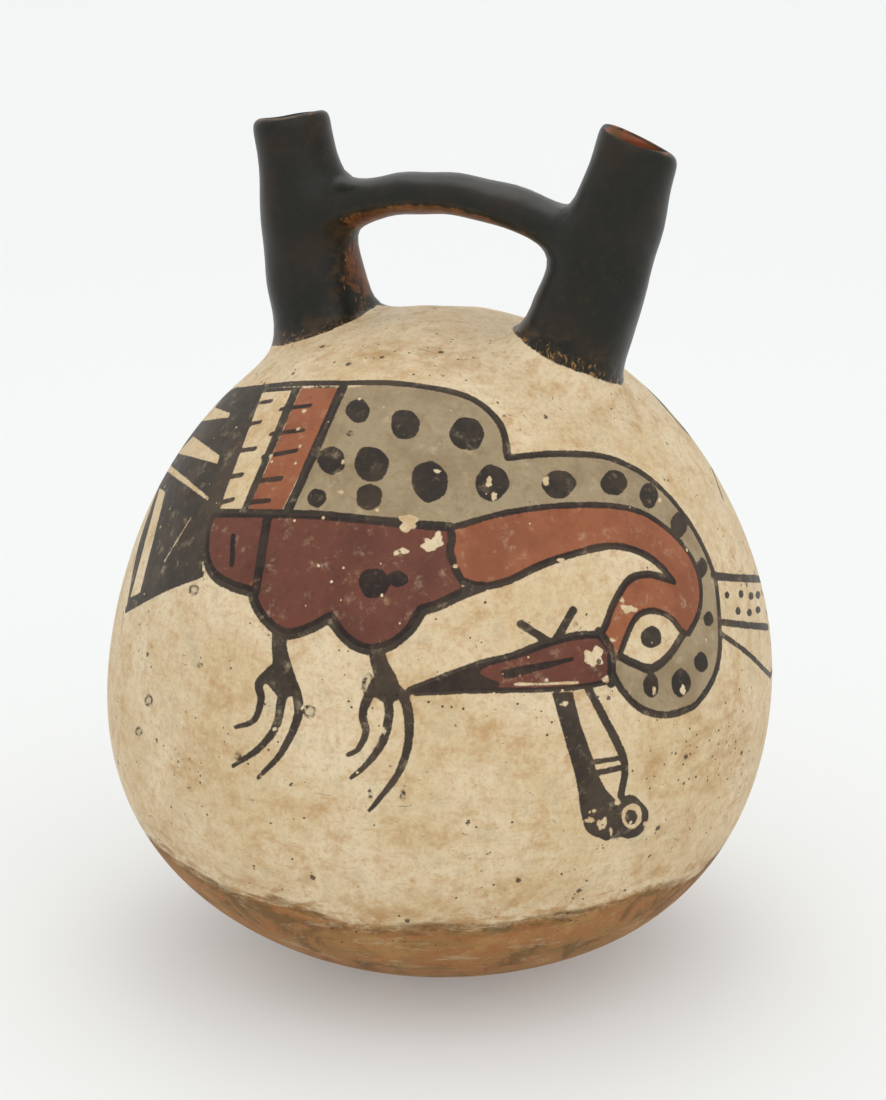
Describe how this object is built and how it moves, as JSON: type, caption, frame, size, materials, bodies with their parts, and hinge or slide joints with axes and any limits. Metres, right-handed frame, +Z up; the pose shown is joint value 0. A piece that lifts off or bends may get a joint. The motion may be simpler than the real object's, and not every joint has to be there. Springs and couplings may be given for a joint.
{
  "type": "double spout and bridge bottle",
  "caption": "Hollow round earthenware bottle with two leaning tubular spouts on its crown, joined by an arched bridge handle with a finger gap under it.",
  "frame": {"origin": "centre of the flat resting spot under the round body", "axes": "+Z up through the crown, +X along the line of the spouts towards the one that leans more, -Y towards the painted front"},
  "size_m": [0.1408, 0.1408, 0.1786],
  "materials": {
    "slip_painted_clay": "burnished earthenware with a cream slip, stands in for fired clay"
  },
  "bodies": {
    "root": {"bottle": "slip_painted_clay"}
  },
  "joints": []
}
